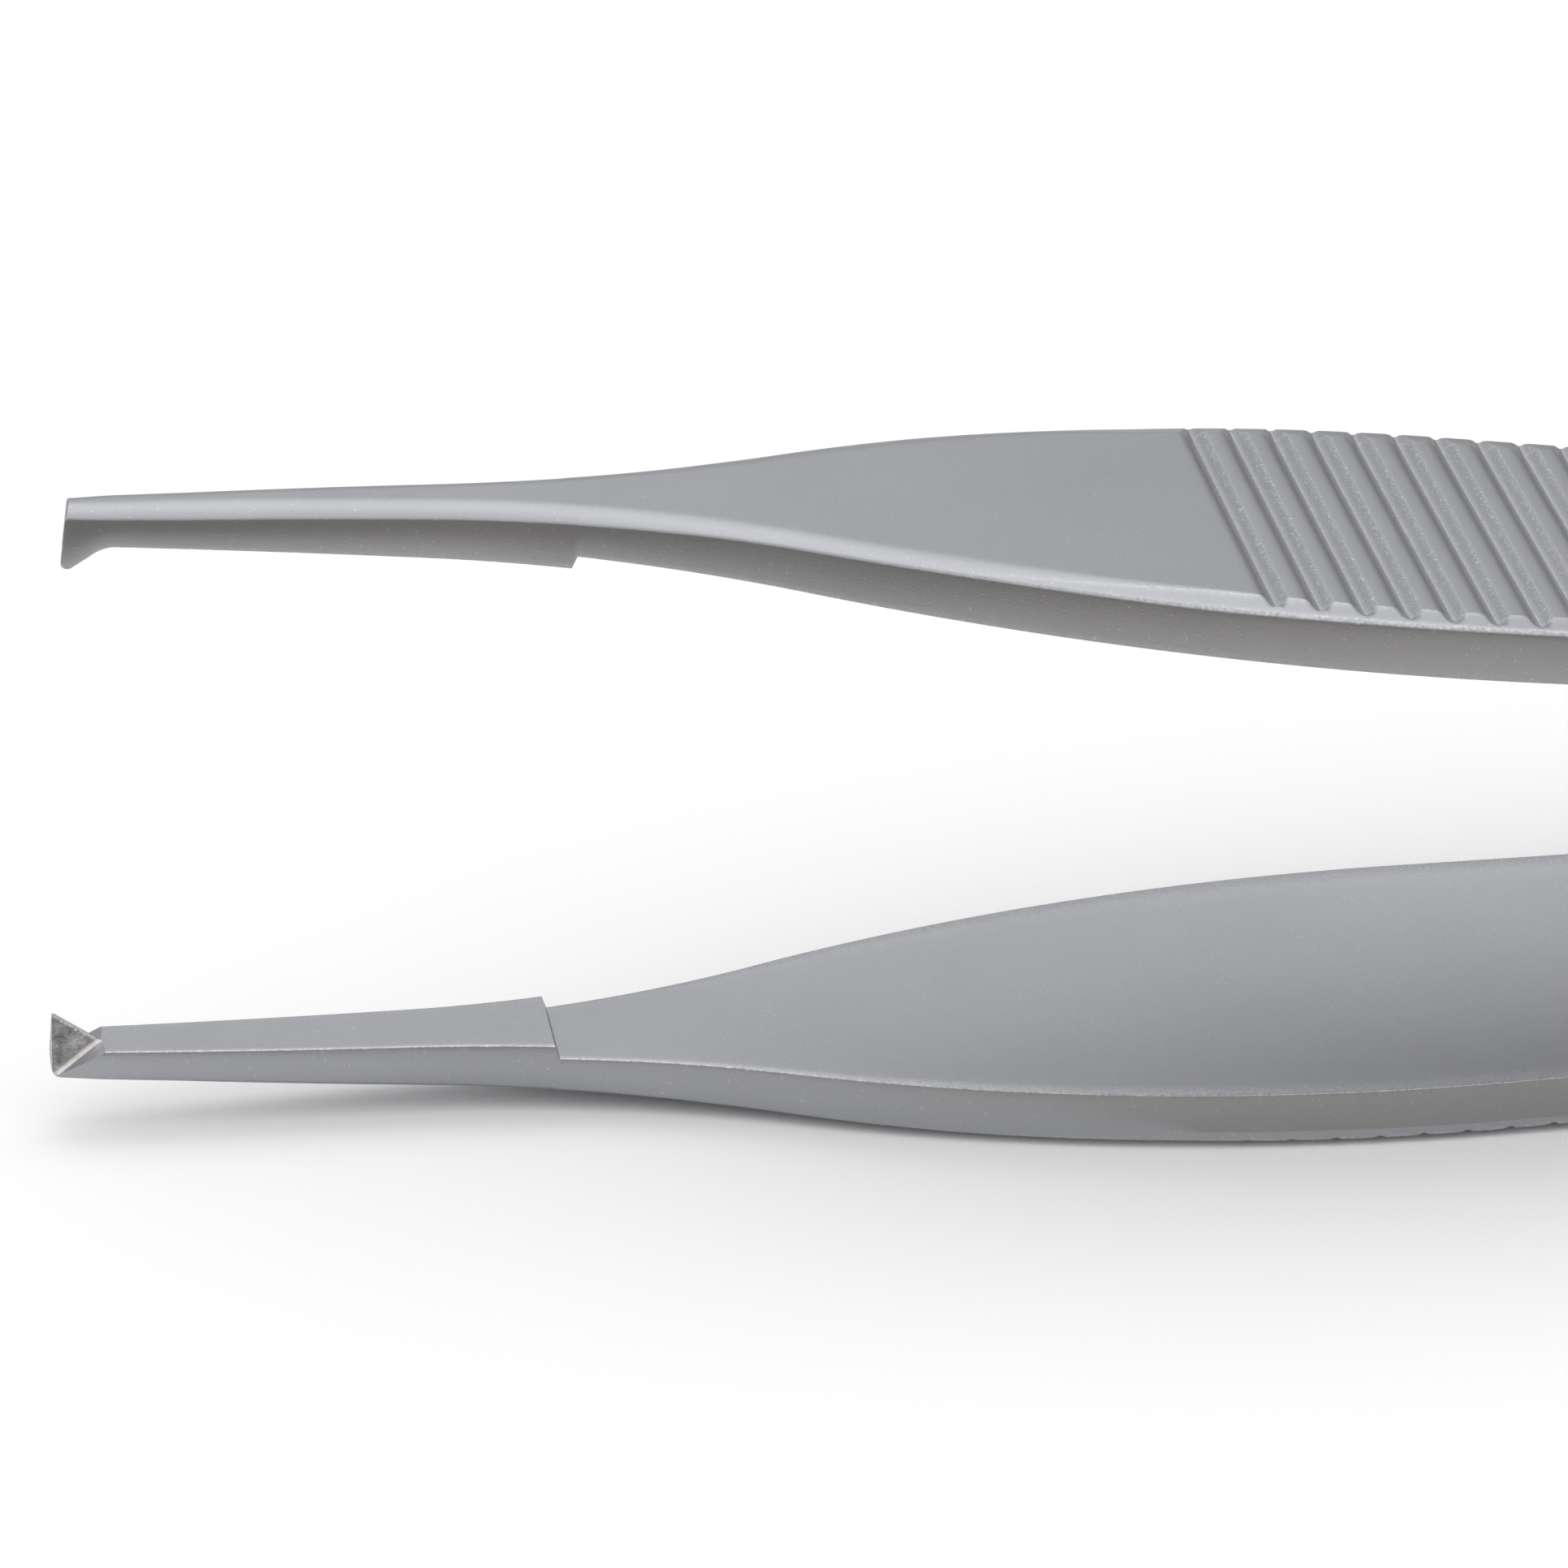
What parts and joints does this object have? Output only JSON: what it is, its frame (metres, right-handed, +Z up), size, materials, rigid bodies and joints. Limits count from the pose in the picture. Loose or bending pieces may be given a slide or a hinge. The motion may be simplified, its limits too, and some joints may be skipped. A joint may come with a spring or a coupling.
{
  "type": "thumb forceps",
  "caption": "Thumb forceps: sprung arms welded at the tail, cross-grooved grip plates, slim jaws with flat tying platforms and interlocking teeth at the tip",
  "frame": {"origin": "under the middle of the whole forceps, on the surface that it lies on, midway across its width", "axes": "+X runs from the toothed tips to the welded tail, +Y across the arms, +Z up, with the pair of teeth on the upper arm"},
  "size_m": [0.1202, 0.0132, 0.0151],
  "materials": {
    "satin_steel": "bead-blasted stainless steel, with ground teeth"
  },
  "bodies": {
    "root": {"double_tooth_arm": "satin_steel", "single_tooth_arm": "satin_steel"}
  },
  "joints": []
}
